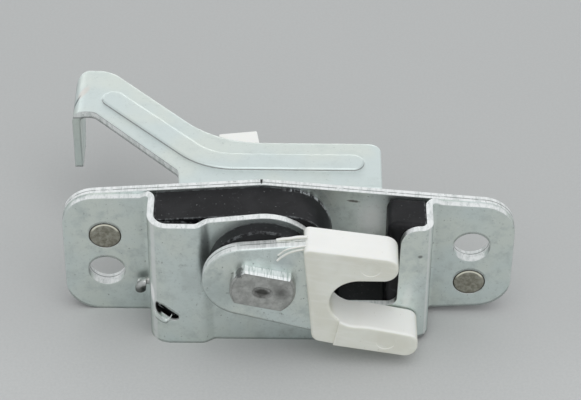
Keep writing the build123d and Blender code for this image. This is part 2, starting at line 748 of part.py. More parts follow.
def pawl_spring_points():
    """Long leg from outside the housing's left wall, coil behind the pawl, hook along its back."""
    side_deg = -360 / coil_sides
    touch_deg = pawl_leg_deg - 90
    corners = coil_corners(pawl_x, pawl_z, pawl_spring_r, pawl_spring_wire, pawl_spring_sides,
                           touch_deg + side_deg / 2, side_deg, pawl_spring_y)
    across, up = polar(pawl_spring_r, touch_deg)
    start = (pawl_x + across, pawl_spring_y, pawl_z + up)
    run = (start[0] - wall_left_x + pawl_leg_reach) / -cos(radians(pawl_leg_deg))
    out_x, out_z = polar(run, pawl_leg_deg)
    leg_end = (start[0] + out_x, pawl_spring_y, start[2] + out_z)
    turn = (pawl_x - pawl_hook_x, corners[-1][1], pawl_z + pawl_hook_z)
    hook = (turn[0], turn[1] - pawl_hook_depth, turn[2])
    return [leg_end] + corners + [turn, hook]


def make_pawl_spring():
    points = pawl_spring_points()
    bends = [pawl_spring_r * coil_ease] * pawl_spring_sides + [hook_r]
    return round_wire(points, pawl_spring_wire, bends)


def web_outline():
    """Top view of the lever's web and of its arm, which runs back and to the left."""
    web_foot_x = web_left_x + web_left_lean
    rear_tip_x = arm_rear_start_x - (tab_rear_y - web_rear_y) / tan(radians(arm_rear_deg))
    front_tip_x = web_left_x - (tab_front_y - arm_front_start_y) / tan(radians(arm_front_deg))
    points = [(web_right_x, lever_front_y), (web_right_x, web_rear_y), (arm_rear_start_x, web_rear_y),
              (rear_tip_x, tab_rear_y), (arm_tip_x, tab_rear_y), (arm_tip_x, tab_front_y),
              (front_tip_x, tab_front_y), (web_left_x, arm_front_start_y), (web_foot_x, lever_front_y)]
    radii = [lever_edge_r, web_corner_r, arm_blend_r, arm_elbow_r, arm_tip_r, lever_edge_r, arm_inner_r,
             web_notch_r, lever_edge_r]
    return closed_face(points, radii)


def lever_upright_face():
    """Rear view of the part of the lever that lies behind the back plate."""
    left = web_left_x + web_left_lean
    points = [(left, web_top_z), (left, pawl_z), (pawl_x, pawl_z - lever_boss_r),
              (pawl_x + lever_boss_r, pawl_z - lever_boss_r + lever_boss_rise), (web_right_x, lever_skirt_z),
              (web_right_x, web_top_z)]
    return closed_face(points, [lever_edge_r, lever_boss_r, lever_boss_r, lever_skirt_r, lever_skirt_r,
                                lever_edge_r])


def make_lever_tip():
    """End of the arm, folded down into a tab whose rear edge tapers."""
    far = arm_tip_x + lever_tip_zone + overrun
    low = web_top_z - tab_drop
    section = folded_strip([(far, web_top_z), (arm_tip_x, web_top_z), (arm_tip_x, low)],
                           [bend_in_r], lever_sheet)
    strip = slab(section, tab_front_y - overrun, tab_rear_y + overrun)
    side = closed_face([(tab_front_y, low), (tab_front_y + tab_low_w, low),
                        (tab_front_y + tab_high_w, low + tab_taper_h), (tab_front_y + tab_high_w, web_top_z),
                        (tab_front_y, web_top_z)],
                       [tab_front_r, tab_corner_r, tab_shoulder_r, lever_edge_r, lever_edge_r])
    tab_room = extrude(Plane.YZ.offset(arm_tip_x) * side, amount=lever_sheet + bend_in_r)
    web_room = Pos(0, 0, web_top_z - lever_sheet - bend_in_r) \
        * extrude(web_outline(), amount=lever_sheet + bend_in_r)
    return (strip & tab_room) + (strip & web_room)


def make_rib():
    """Low rib pressed up along the web and the arm, with round ends and well rounded edges."""
    tip = (rib_tip_x, rib_y + (rib_knee_x - rib_tip_x) * tan(radians(rib_deg)))
    path = FilletPolyline((rib_right_x, rib_y), (rib_knee_x, rib_y), tip, radius=rib_knee_r)
    face = trace(path, line_width=rib_w)
    for end in (path @ 0, path @ 1):
        face += Pos(end.X, end.Y) * Circle(rib_w / 2)
    rib = Pos(0, 0, web_top_z) * extrude(face, amount=rib_h)
    crest = rib.edges().filter_by(lambda e: abs(e.center().Z - web_top_z - rib_h) < near)
    return fillet(crest, rib_round_r)


def make_release_lever():
    far = tab_rear_y + overrun
    low = pawl_z - lever_boss_r - overrun
    section = folded_strip([(far, web_top_z), (lever_front_y, web_top_z), (lever_front_y, low)],
                           [web_bend_r], lever_sheet)
    strip = extrude(Plane.YZ.offset(arm_tip_x) * section, amount=web_right_x - arm_tip_x)
    web_room = Pos(0, 0, web_top_z - lever_sheet - web_bend_r) \
        * extrude(web_outline(), amount=lever_sheet + web_bend_r)
    upright_room = slab(lever_upright_face(), lever_front_y, lever_rear_y + web_bend_r)
    body = strip & (web_room + upright_room)
    body -= Pos(arm_tip_x, 0, web_top_z) * Box(2 * lever_tip_zone, 4 * tab_rear_y, 4 * lever_sheet)
    body += make_lever_tip()
    body += make_rib()
    body -= disc(spindle_x + lever_window_x, spindle_z + lever_window_z, lever_window_r, lever_front_y,
                 lever_rear_y)
    flats = Pos(pawl_x, pawl_z) * Rot(0, 0, pawl_lift_deg) * double_flat(pawl_shaft_r, pawl_shaft_flats)
    return body - slab(flats, lever_front_y, lever_rear_y)


def make_lever_washer():
    return ring(pawl_x, pawl_z, lever_washer_r, pawl_shaft_r + running_gap, plate_rear_y + running_gap,
                lever_front_y - running_gap)


def make_rod_clip():
    """Nylon clip that bites the web's rear edge and snaps round a rod behind it."""
    bottom = web_top_z - clip_block_drop - clip_block_h
    block = Box(clip_block_w, clip_block_depth, clip_block_h, align=(Align.CENTER, Align.MIN, Align.MIN))
    block = fillet(block.edges().filter_by(Axis.Z), clip_block_edge_r)
    rod_y = clip_block_bite + (clip_block_depth - clip_block_bite) / 2
    rod_z = (clip_block_h - lever_sheet) / 2
    block -= Pos(0, rod_y, rod_z) * Rot(0, 90, 0) * Cylinder(rod_d / 2, 2 * clip_block_w)
    block -= Pos(0, rod_y, 0) * Box(2 * clip_block_w, rod_mouth, 2 * rod_z)
    body = Pos(clip_block_x, web_rear_y - clip_block_bite, bottom) * Rot(0, 0, clip_block_yaw) * block
    web_low_z = web_top_z - lever_sheet
    return body - Pos(0, 0, web_low_z) * extrude(web_outline(), amount=2 * lever_sheet)


os.makedirs("parts", exist_ok=True)
parts = {
    "back_plate": make_back_plate(),
    "front_housing": make_front_housing(),
    "rivet_left": make_rivet(*rivet_points()[0]),
    "rivet_right": make_rivet(*rivet_points()[1]),
    "spindle": make_spindle(),
    "fork_plate": make_fork_plate(),
    "fork_jaws": make_fork_jaws(),
    "thrust_washer": make_thrust_washer(),
    "front_bush": make_front_bush(),
    "rear_bush": make_rear_bush(),
    "spindle_clip": ring_clip(spindle_x, spindle_z, rear_journal_r - groove_depth, spindle_groove_y),
    "ratchet": make_ratchet(),
    "fork_spring": make_fork_spring(),
    "mechanism_block": make_mechanism_block(),
    "striker_buffer": make_striker_buffer(),
    "pawl": make_pawl(),
    "pawl_shaft": make_pawl_shaft(),
    "pawl_spring": make_pawl_spring(),
    "release_lever": make_release_lever(),
    "lever_washer": make_lever_washer(),
    "lever_clip": ring_clip(pawl_x, pawl_z, pawl_shaft_r - groove_depth, shaft_groove_y),
    "rod_clip": make_rod_clip(),
}
for name, part in parts.items():
    export_step(part, "parts/" + name + ".step")
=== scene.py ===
"""Van door latch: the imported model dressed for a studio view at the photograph's angle."""

import json
import math

import bpy
from mathutils import Matrix, Vector


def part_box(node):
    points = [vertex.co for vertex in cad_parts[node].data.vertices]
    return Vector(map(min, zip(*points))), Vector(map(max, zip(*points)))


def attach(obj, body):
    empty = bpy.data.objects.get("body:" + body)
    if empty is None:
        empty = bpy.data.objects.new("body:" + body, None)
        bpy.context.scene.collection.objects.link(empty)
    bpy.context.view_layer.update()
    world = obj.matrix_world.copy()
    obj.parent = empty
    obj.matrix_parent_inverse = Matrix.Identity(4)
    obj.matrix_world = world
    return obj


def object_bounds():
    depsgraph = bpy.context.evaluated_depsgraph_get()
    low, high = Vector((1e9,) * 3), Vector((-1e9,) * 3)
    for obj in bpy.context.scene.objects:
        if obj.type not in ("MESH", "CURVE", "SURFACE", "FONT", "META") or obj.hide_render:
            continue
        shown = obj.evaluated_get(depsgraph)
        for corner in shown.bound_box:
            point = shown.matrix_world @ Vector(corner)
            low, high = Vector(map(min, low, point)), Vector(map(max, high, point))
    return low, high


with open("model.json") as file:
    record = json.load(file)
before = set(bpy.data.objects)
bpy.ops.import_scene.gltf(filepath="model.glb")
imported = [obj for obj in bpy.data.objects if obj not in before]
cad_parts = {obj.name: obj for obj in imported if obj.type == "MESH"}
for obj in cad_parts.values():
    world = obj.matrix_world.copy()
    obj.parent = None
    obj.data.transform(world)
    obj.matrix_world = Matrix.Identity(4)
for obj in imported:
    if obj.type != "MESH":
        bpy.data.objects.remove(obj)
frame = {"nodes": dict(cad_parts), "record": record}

MM = 0.001
CAD_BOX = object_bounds()

# View of the photograph: one camera whose sizes are taken for a frame of 581 by 400 pixels
FRAME_WIDTH_PX = 581
SENSOR_MM = 36.0
FOCAL_PX = 2300.0
VIEW_ELEVATION = math.radians(41.0)
VIEW_ROLL = math.radians(0.6)
VIEW_DISTANCE = 560.0 * MM
ORIGIN_RIGHT = -0.365 * MM
ORIGIN_UP = -14.37 * MM
CLIP_START = 0.01

# Stage, in metres and watts: each softbox has a place, a size and a power
FLOOR_SIZE = 3.0
WORLD_COLOUR = (0.96, 0.98, 1.0, 1.0)
WORLD_STRENGTH = 0.67
SOFTBOXES = {
    "top_box": ((0.1, -0.32, 0.92), (1.0, 0.8), 3.0),
    "back_box": ((0.0, 0.95, 0.62), (1.7, 0.6), 0.35),
    "low_back_box": ((-0.1, 1.1, 0.22), (1.5, 0.22), 2.2),
}

# Places on the latch, in millimetres, where the scene adds marks or pieces
FACE_Y = -12.0                       # front face of the raised housing
FORK_FRONT_Y = -17.1                 # front face of the fork's plate
FORK_CUT_LINE_Y = -15.3              # where the shear mark turns to torn metal on its edge
PLATE_CUT_LINE_Y = 2.5               # the same on the flat back plate
LEVER_MID_Z = 17.0                   # middle of the lever's sheet along its arm
LEVER_FOLD_Z = 15.6                  # its upright lies below this, and in front of the next
LEVER_FOLD_Y = 10.5
WALL_LEFT_X = -33.5                  # outside of the housing's left wall
SPINDLE_CROWN_Z = 8.6                # the flat cut by milling on the spindle's head lies above this; its top is painted bright, partly as a painted highlight
RIVET_HEAD_R = 3.95
ALL_THROUGH = 200.0                  # a radius that takes in the whole latch


class Link:
    """An output socket of a material. Sums and products on it add Math nodes."""

    def __init__(self, finish, socket):
        self.finish = finish
        self.socket = socket

    def math(self, operation, *values):
        sockets = dict(enumerate(values))
        return self.finish.node("ShaderNodeMath", {"operation": operation}, sockets)

    def __add__(self, other):
        return self.math("ADD", self, other)

    def __sub__(self, other):
        return self.math("SUBTRACT", self, other)

    def __rsub__(self, other):
        return self.math("SUBTRACT", other, self)

    def __mul__(self, other):
        return self.math("MULTIPLY", self, other)

    def __abs__(self):
        return self.math("ABSOLUTE", self)

    __radd__ = __add__
    __rmul__ = __mul__

    def most(self, other):
        return self.math("MAXIMUM", self, other)


class Finish:
    """One material: a Principled shader and the nodes that feed it."""

    def __init__(self, name, **constants):
        self.material = bpy.data.materials.new(name)
        self.material.use_nodes = True
        self.tree = self.material.node_tree
        self.shader = self.tree.nodes["Principled BSDF"]
        for socket, value in constants.items():
            self.shader.inputs[socket.replace("_", " ")].default_value = value

    def node(self, kind, settings, sockets, output=0):
        """Adds a node: its settings first, then the values or links of its sockets."""
        made = self.tree.nodes.new(kind)
        for key, value in settings.items():
            setattr(made, key, value)
        for key, value in sockets.items():
            if isinstance(value, Link):
                self.tree.links.new(value.socket, made.inputs[key])
            else:
                made.inputs[key].default_value = value
        return Link(self, made.outputs[output])

    def split(self, vector):
        return [self.node("ShaderNodeSeparateXYZ", {}, {"Vector": vector}, axis) for axis in "XYZ"]

    def facing(self):
        """The surface's own direction along X, Y and Z, each from -1 to 1."""
        return self.split(self.node("ShaderNodeTexCoord", {}, {}, "Normal"))

    def where(self):
        """The place on the latch along X, Y and Z, in millimetres."""
        here = self.node("ShaderNodeTexCoord", {}, {}, "Object")
        return [axis * (1.0 / MM) for axis in self.split(here)]

    def fade(self, value, low, high):
        """0 up to low and 1 from high, smooth between. With low above high it falls."""
        sockets = {"Value": value, "From Min": low, "From Max": high}
        return self.node("ShaderNodeMapRange", {"interpolation_type": "SMOOTHSTEP"}, sockets)

    def pattern(self, size, centre=(0.0, 0.0, 0.0), turn=(0.0, 0.0, 0.0)):
        """Object coordinates counted from centre, turned by degrees, in steps of size (all mm)."""
        here = self.node("ShaderNodeTexCoord", {}, {}, "Object")
        sockets = {"Vector": here, "Location": [place * MM for place in centre],
                   "Rotation": [math.radians(angle) for angle in turn],
                   "Scale": [length * MM for length in size]}
        return self.node("ShaderNodeMapping", {"vector_type": "TEXTURE"}, sockets)

    def noise(self, grain, detail=2.0, roughness=0.5, turn=(0.0, 0.0, 0.0)):
        """Noise from 0 to 1. Its blotches are grain mm across, or grain along X, Y and Z."""
        size = grain if isinstance(grain, tuple) else (grain, grain, grain)
        sockets = {"Vector": self.pattern(size, turn=turn), "Scale": 1.0,
                   "Detail": detail, "Roughness": roughness}
        return self.node("ShaderNodeTexNoise", {}, sockets, "Fac")

    def patches(self, grain, low, high, detail=2.0, roughness=0.6, turn=(0.0, 0.0, 0.0)):
        """1 where the noise is above high, so that its highest blotches are left."""
        return self.fade(self.noise(grain, detail, roughness, turn), low, high)

    def reach(self, centre, radii, turn=(0.0, 0.0, 0.0)):
        """Distance from centre, counted in radii."""
        placed = self.pattern(radii, centre, turn)
        return self.node("ShaderNodeVectorMath", {"operation": "LENGTH"}, {0: placed}, "Value")

    def spot(self, centre, radii, turn=(0.0, 0.0, 0.0), soft=0.5, ragged=0.0, grain=1.0):
        """1 inside an ellipsoid and 0 outside it, with a soft or ragged rim."""
        far = self.reach(centre, radii, turn)
        if ragged:
            far = far + (self.noise(grain, 3.0, 0.6) - 0.5) * ragged
        return self.fade(far, 1.0, 1.0 - soft)

    def eased(self, reach_mm):
        """The surface's direction, rounded over within reach_mm of an edge."""
        return self.node("ShaderNodeBevel", {"samples": 4}, {"Radius": reach_mm * MM})

    def worn(self, reach_mm, low, high):
        """1 along edges, from how far the surface turns within reach_mm."""
        directions = {0: self.eased(reach_mm),
                      1: self.node("ShaderNodeNewGeometry", {}, {}, "Normal")}
        same = self.node("ShaderNodeVectorMath", {"operation": "DOT_PRODUCT"}, directions, "Value")
        return self.fade(1.0 - same, low, high)

    def lower_rim_shade(self, reach_mm):
        """1 along edges whose rounding turns downwards, in the latch's own directions: where
        painted shade goes.
        """
        sockets = {"Vector": self.eased(reach_mm)}
        settings = {"vector_type": "NORMAL", "convert_from": "WORLD", "convert_to": "OBJECT"}
        turned = self.node("ShaderNodeVectorTransform", settings, sockets)
        return self.fade(self.split(turned)[2], -0.1, -0.35)

    def mix(self, factor, first, second):
        """Colour between two colours, given as links or as numbers."""
        sockets = {"Factor": factor, 6: rgba(first), 7: rgba(second)}
        return self.node("ShaderNodeMix", {"data_type": "RGBA"}, sockets, 2)

    def marked(self, colour, marks):
        """Paints marks over a colour. Each is the settings of a spot or a function that gives a
        mask, then a screen colour and a share."""
        for spot, shade, share in marks:
            mask = spot(self) if callable(spot) else self.spot(**spot)
            colour = self.mix(mask * share, colour, srgb(*shade))
        return colour

    def bump(self, height, depth_mm, normal=None):
        sockets = {"Height": height, "Distance": depth_mm * MM}
        if normal is not None:
            sockets["Normal"] = normal
        return self.node("ShaderNodeBump", {}, sockets)

    def feed(self, **sockets):
        for socket, value in sockets.items():
            self.tree.links.new(value.socket, self.shader.inputs[socket.replace("_", " ")])
        return self.material


def rgba(colour):
    """A colour as four numbers, or a link left as it is."""
    if isinstance(colour, Link):
        return colour
    return (*colour, 1.0)


def srgb(red, green, blue):
    """Linear colour of an 8-bit screen colour."""
    def linear(level):
        share = level / 255.0
        return share / 12.92 if share <= 0.04045 else ((share + 0.055) / 1.055) ** 2.4
    return (linear(red), linear(green), linear(blue))


# Where each zinc sheet was cut

def cut_across_y(finish):
    """Edges of a flat sheet that lies across Y."""
    return finish.fade(abs(finish.facing()[1]), 0.6, 0.3)


def cut_of_housing(finish):
    """Upper and lower edges of the folded housing, not its side walls."""
    across, through, up = finish.facing()
    return finish.fade(abs(through), 0.55, 0.3) * finish.fade(abs(across), 0.82, 0.66)


def cut_of_lever(finish):
    """Edges of the lever's web, arm and tab, behind its folded upright."""
    x, y, z = finish.where()
    behind = finish.fade(y, LEVER_FOLD_Y, LEVER_FOLD_Y + 1.0)
    level = finish.fade(z, LEVER_FOLD_Z, LEVER_FOLD_Z + 0.4)
    return finish.fade(abs(finish.facing()[2]), 0.6, 0.3) * level * behind


def bend_highlights(finish):
    """The two upright bends at the front of the raised housing, where a highlight is painted."""
    across = abs(finish.facing()[0])
    leaning = finish.fade(across, 0.58, 0.7) * finish.fade(across, 0.87, 0.78)
    return leaning * finish.fade(finish.where()[1], -8.0, -9.0)


# Side walls of the housing, painted darker as painted shade.
def shaded_side_walls(finish):
    return finish.fade(abs(finish.facing()[0]), 0.88, 0.97)


def cut_line(axis, middle, half_width):
    """Broken dark line along a cut edge, where the shear mark ends."""
    def line(finish):
        away = abs(finish.where()[axis] - middle)
        broken = finish.patches(2.2, 0.3, 0.5, 3.0)
        return finish.fade(away, half_width, half_width * 0.4) * broken
    return line


def rims_of_cut(axis, middle, half_width):
    """Dark lines on both sides of a lighter band along a cut edge."""
    def line(finish):
        return finish.fade(abs(finish.where()[axis] - middle), half_width * 0.7, half_width)
    return line


# Finishes

def rolled_zinc(finish, blotch, mottle, dirt):
    """Colour of the passivated surface: two tints in clouds, with blotches, pits and scuffs."""
    cloud = finish.noise(17.0)
    pits = finish.patches(0.8, 0.66, 0.73)
    scuffs = finish.patches((9.0, 0.5, 0.5), 0.69, 0.74, 1.0, 0.5, (0, 62, 0))
    drags = finish.patches((7.0, 0.45, 0.45), 0.70, 0.75, 1.0, 0.5, (0, -24, 15))
    colour = finish.mix(finish.fade(cloud, 0.38, 0.62), srgb(224, 234, 232), srgb(229, 236, 230))
    shades = (
        (finish.fade(blotch, 0.45, 0.72) * dirt, srgb(208, 217, 214)),
        (finish.fade(mottle, 0.56, 0.74) * (0.4 * dirt), srgb(174, 182, 179)),
        (finish.fade(mottle, 0.42, 0.28) * (0.5 * dirt), srgb(234, 240, 238)),
        (pits * (0.6 * dirt), srgb(112, 117, 113)),
        (scuffs.most(drags) * (0.4 * dirt), srgb(240, 244, 242)),
    )
    for share, shade in shades:
        colour = finish.mix(share, colour, shade)
    return colour, pits


def torn_zinc(finish, streak, line):
    """Colour of a cut edge: pale streaks and pits, its fine line, and painted shade where it faces
    down.
    """
    colour = finish.mix(finish.fade(streak, 0.3, 0.6), srgb(216, 221, 219), srgb(246, 248, 247))
    colour = finish.mix(finish.patches(0.6, 0.64, 0.72) * 0.45, colour, srgb(120, 122, 120))
    if line is not None:
        colour = finish.mix(line(finish) * 0.75, colour, srgb(112, 116, 115))
    # painted shade: the cut edge is painted dark where it faces down
    under = finish.fade(finish.facing()[2], -0.3, -0.75)
    return finish.mix(under, colour, srgb(84, 88, 86))


def zinc(name, find_cut, cut_grain, line=None, marks=(), dirt=1.0, round_mm=0.3, painted_highlight=None):
    """Passivated zinc on rolled steel. find_cut says where the sheet was cut, cut_grain is the
    size of the streaks there, line(finish) is the fine line along the cut, dirt is how blotched
    the sheet is, round_mm is how far its edges look eased, and glare is a painted highlight:
    a spot painted near white."""
    finish = Finish(name)
    blotch = finish.noise(4.0, 4.0, 0.65)
    mottle = finish.noise(1.3, 3.0, 0.6)
    grain = finish.noise(0.4, 2.0, 0.7)
    streak = finish.noise(cut_grain, 3.0, 0.7)
    cut = find_cut(finish)
    colour, pits = rolled_zinc(finish, blotch, mottle, dirt)
    colour = finish.mix(cut, colour, torn_zinc(finish, streak, line))
    rubbed_edge = finish.worn(0.5, 0.01, 0.12) * (1.0 - cut) * finish.fade(mottle, 0.3, 0.6)
    colour = finish.mix(rubbed_edge * 0.6, colour, srgb(246, 249, 248))
    # painted shade: edges that round over downwards are painted dark
    colour = finish.mix(finish.lower_rim_shade(1.2) * 0.8, colour, srgb(64, 68, 66))
    colour = finish.marked(colour, marks)
    metal = 1.0 - cut * 0.6
    # painted highlight: the spot is painted near white and made less metallic
    if painted_highlight is not None:
        highlight_share = finish.spot(**painted_highlight)
        colour = finish.mix(highlight_share, colour, srgb(254, 255, 254))
        metal = metal * (1.0 - highlight_share * 0.85)
    rough = 0.36 + blotch * 0.14 + grain * 0.08
    height = grain * 0.5 + blotch * 0.6 + mottle * 0.5 - pits * 0.8 + cut * streak
    return finish.feed(Base_Color=colour, Roughness=rough, Metallic=metal,
                       Normal=finish.bump(height, 0.02, finish.eased(round_mm)))


def rivet_steel(name, node):
    """Pressed rivet head: brown-grey and stained, dark round its rim, with a pale arc inside the
    upper rim that is a painted highlight."""
    low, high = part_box(node)
    centre = [(first + second) / 2.0 / MM for first, second in zip(low, high)]
    finish = Finish(name, Metallic=1.0)
    stain = finish.noise(1.5, 4.0, 0.7)
    grain = finish.noise(0.25, 2.0, 0.6)
    far = finish.reach(centre, (RIVET_HEAD_R, ALL_THROUGH, RIVET_HEAD_R))
    upper = finish.fade(finish.where()[2] - centre[2], 0.9, 2.2)
    painted_crescent_highlight = finish.fade(far, 0.76, 0.84) * finish.fade(far, 0.95, 0.90) * upper
    colour = finish.mix(finish.fade(stain, 0.32, 0.68), srgb(132, 129, 116), srgb(182, 180, 168))
    # painted highlight: a pale arc inside the upper rim
    colour = finish.mix(painted_crescent_highlight, colour, srgb(250, 248, 232))
    colour = finish.mix(finish.fade(far, 0.90, 0.97), colour, srgb(58, 55, 48))
    height = grain * 0.5 + stain - finish.fade(far, 0.80, 0.96) * 4.0
    return finish.feed(Base_Color=colour, Roughness=0.36 + stain * 0.2,
                       Normal=finish.bump(height, 0.03))


def spindle_steel(name, marks=()):
    """Machined steel: dull on the face; on top, ribbed where the flat was cut by milling and
    painted bright, partly as a painted highlight.
    """
    finish = Finish(name)
    stain = finish.noise(2.2, 4.0, 0.7)
    fine = finish.noise(0.35, 3.0, 0.7)
    ribs = finish.noise((0.45, 4.0, 4.0), 3.0, 0.7)
    high = finish.fade(finish.where()[2], SPINDLE_CROWN_Z, SPINDLE_CROWN_Z + 0.8)
    crown = finish.fade(finish.facing()[2], 0.35, 0.6) * high
    rim = finish.worn(0.5, 0.01, 0.12) * (1.0 - crown)
    milled_and_sheen = finish.mix(finish.fade(ribs, 0.36, 0.58), srgb(196, 206, 203), srgb(248, 251, 250))
    colour = finish.mix(finish.fade(stain, 0.32, 0.7), srgb(170, 171, 168), srgb(201, 202, 199))
    colour = finish.mix(finish.fade(fine, 0.56, 0.7) * 0.5, colour, srgb(126, 127, 124))
    colour = finish.mix(rim * 0.6, colour, srgb(84, 84, 82))
    # partly painted highlight: faces turned up on the crown are painted bright over the ribbed
    # finish
    colour = finish.marked(finish.mix(crown, colour, milled_and_sheen), marks)
    rough = 0.42 + stain * 0.15 - crown * 0.12
    height = fine * 0.6 + stain * 0.5 + crown * ribs * 0.8
    return finish.feed(Base_Color=colour, Roughness=rough, Metallic=1.0 - crown * 0.55,
                       Normal=finish.bump(height, 0.025))


def spring_steel(name, shade_below=0.0):
    """Hard drawn wire and stamped rings, with drawn lines, and painted shade where it faces down.
    """
    finish = Finish(name, Metallic=1.0)
    streak = finish.noise(0.5, 3.0, 0.6)
    under = finish.fade(finish.facing()[2], 0.35, -0.1)
    colour = finish.mix(streak, srgb(170, 172, 170), srgb(222, 225, 223))
    colour = finish.mix(finish.patches(1.8, 0.5, 0.7, 3.0) * 0.6, colour, srgb(120, 118, 110))
    # painted shade on the faces that look down
    colour = finish.mix(under * shade_below, colour, srgb(62, 66, 62))
    return finish.feed(Base_Color=colour, Roughness=0.26 + streak * 0.14,
                       Normal=finish.bump(streak, 0.012))


def natural_nylon(name):
    """Moulded natural nylon: warm white and satin, painted paler on top as painted light from
    above, with flow marks, specks and worn edges."""
    finish = Finish(name, Subsurface_Weight=0.12, Subsurface_Scale=0.0012, IOR=1.53,
                    Subsurface_Radius=(1.0, 0.9, 0.75))
    cloud = finish.noise(7.0)
    flow = finish.noise((6.0, 1.2, 1.2), turn=(0, 12, 0))
    grain = finish.noise(0.3, 2.0, 0.6)
    specks = finish.patches(0.8, 0.70, 0.76)
    upper = finish.fade(finish.facing()[2], 0.3, 0.7)
    edge = finish.worn(0.6, 0.01, 0.15) * finish.patches(1.6, 0.35, 0.6, 3.0)
    colour = finish.mix(finish.fade(cloud, 0.35, 0.65), srgb(235, 236, 226), srgb(228, 228, 216))
    # painted light: faces turned up are painted paler
    colour = finish.mix(upper * 0.75, colour, srgb(253, 253, 250))
    colour = finish.mix(finish.fade(flow, 0.45, 0.7) * 0.2, colour, srgb(250, 250, 246))
    colour = finish.mix(specks * 0.35, colour, srgb(186, 182, 168))
    colour = finish.mix(edge * 0.5, colour, srgb(252, 252, 249))
    height = grain * 0.5 + flow * 0.2 + specks * 0.5
    return finish.feed(Base_Color=colour, Roughness=0.40 + grain * 0.14,
                       Normal=finish.bump(height, 0.02))


def black_acetal(name, gloss, marks=()):
    """Moulded black acetal with dust, specks, and pale edges that are partly wear and partly a
    painted highlight.
    """
    finish = Finish(name, IOR=1.47, Specular_IOR_Level=0.24)
    cloud = finish.noise(6.0, 3.0, 0.6)
    grain = finish.noise(0.3, 2.0, 0.6)
    specks = finish.patches(0.7, 0.72, 0.76)
    rubs = finish.patches((5.0, 0.4, 0.4), 0.66, 0.72, turn=(20, 35, 0))
    edge = finish.worn(0.7, 0.01, 0.12) * finish.patches(1.1, 0.44, 0.6, 4.0, 0.75)
    colour = finish.mix(finish.fade(cloud, 0.4, 0.7), srgb(20, 20, 22), srgb(33, 33, 35))
    colour = finish.mix(rubs * 0.35, colour, srgb(96, 98, 100))
    colour = finish.mix(specks * 0.7, colour, srgb(158, 160, 160))
    # pale edges: partly wear, partly a painted highlight
    colour = finish.mix(edge * 0.7, colour, srgb(150, 154, 156))
    colour = finish.marked(colour, marks)
    rough = 0.52 - gloss + cloud * 0.14 + grain * 0.06
    height = grain * 0.4 + cloud * 0.6 + specks
    return finish.feed(Base_Color=colour, Roughness=rough, Normal=finish.bump(height, 0.018))


def rear_rim_wear_and_highlight(finish):
    """Broken pale line where the block's round end meets the back plate: partly wear, partly a
    painted highlight.
    """
    x, y, z = finish.where()
    broken = finish.patches((0.9, 3.0, 0.9), 0.44, 0.56, 3.0, 0.7)
    return finish.fade(y, 0.2, 0.8) * finish.fade(x, -2.0, 1.0) * broken


def table_grey():
    """Matt pale grey card with a faint tooth, painted a little paler in front of the latch:
    painted light that lifts the shadow there.
    """
    finish = Finish("table_grey", Specular_IOR_Level=0.25)
    cloud = finish.noise(70.0)
    tooth = finish.noise(0.7, 3.0, 0.7)
    painted_lift_in_front = finish.fade(finish.where()[1], 4.0, -32.0)
    colour = finish.mix(cloud, srgb(190, 191, 190), srgb(193, 194, 193))
    # painted light: the card is painted paler in front of the latch, where shadow falls
    colour = finish.mix(painted_lift_in_front, colour, srgb(201, 202, 201))
    colour = finish.mix(finish.fade(tooth, 0.3, 0.7) * 0.3, colour, srgb(180, 182, 181))
    return finish.feed(Base_Color=colour, Roughness=cloud * 0.1 + 0.75,
                       Normal=finish.bump(tooth, 0.03))


# Marks on single pieces: a spot or a function, its screen colour and its share

PLATE_MARKS = [
    (dict(centre=(-6.6, 3.2, 22.4), radii=(0.35, 1.6, 0.9), soft=0.4), (24, 24, 24), 1.0),
    (dict(centre=(15.4, 1.6, 17.5), radii=(1.7, 1.0, 0.45), turn=(0, 8, 0), soft=0.5, ragged=0.8,
          grain=0.6), (96, 92, 84), 0.8),
    # painted light: the middle of the back plate, between the black parts, is painted pale
    (dict(centre=(20.0, 1.6, 12.0), radii=(5.5, 1.0, 9.0), soft=0.9), (252, 254, 253), 0.8),
]
HOUSING_MARKS = [
    # painted highlight on the front bends, painted shade on the side walls
    (bend_highlights, (250, 252, 251), 0.7),
    (shaded_side_walls, (150, 157, 155), 0.6),
    # painted shade: the inside of the lance slot is painted near black
    (dict(centre=(-28.9, -10.85, -7.1), radii=(4.2, 0.95, 2.6), turn=(0, 42, 0), soft=0.15),
     (10, 10, 10), 1.0),
    (dict(centre=(31.3, -10.4, 10.6), radii=(0.8, 2.0, 0.6), soft=0.6, ragged=0.6, grain=0.5),
     (98, 102, 100), 0.7),
    # painted highlight on the dished face right of the notch
    (dict(centre=(28.7, -10.4, -2.7), radii=(1.6, 2.0, 6.5), turn=(0, 8, 0), soft=0.8),
     (244, 248, 246), 0.6),
    (dict(centre=(-23.0, -12.0, 3.0), radii=(3.5, 3.0, 6.0), soft=0.9, ragged=0.7, grain=3.0),
     (196, 204, 202), 0.4),
]
# painted highlight along the bend beside the housing's left wall
WALL_PAINTED_HIGHLIGHT = dict(centre=(-32.7, -9.8, -2.2), radii=(0.8, 1.2, 3.8), turn=(0, -7, 0), soft=0.4)
LEVER_MARKS = [
    # painted highlight on the elbow's fold
    (dict(centre=(-52.0, 42.0, 17.4), radii=(1.4, 3.6, 1.6), turn=(0, 0, -28), soft=0.6),
     (230, 222, 215), 0.6),
    # painted shade along the crease of the elbow
    (dict(centre=(-53.4, 39.6, 16.4), radii=(0.5, 3.4, 1.8), turn=(0, 0, -28), soft=0.6),
     (118, 127, 130), 0.85),
]
FORK_MARKS = [
    (dict(centre=(-1.0, FORK_FRONT_Y, 14.0), radii=(3.4, 1.5, 5.0), turn=(0, 24, 0), soft=0.8,
          ragged=0.5, grain=2.0), (196, 206, 210), 0.45),
    (dict(centre=(-16.0, FORK_FRONT_Y, 5.0), radii=(8.0, 1.5, 8.0), soft=0.9, ragged=0.5,
          grain=3.0), (184, 194, 191), 0.5),
]
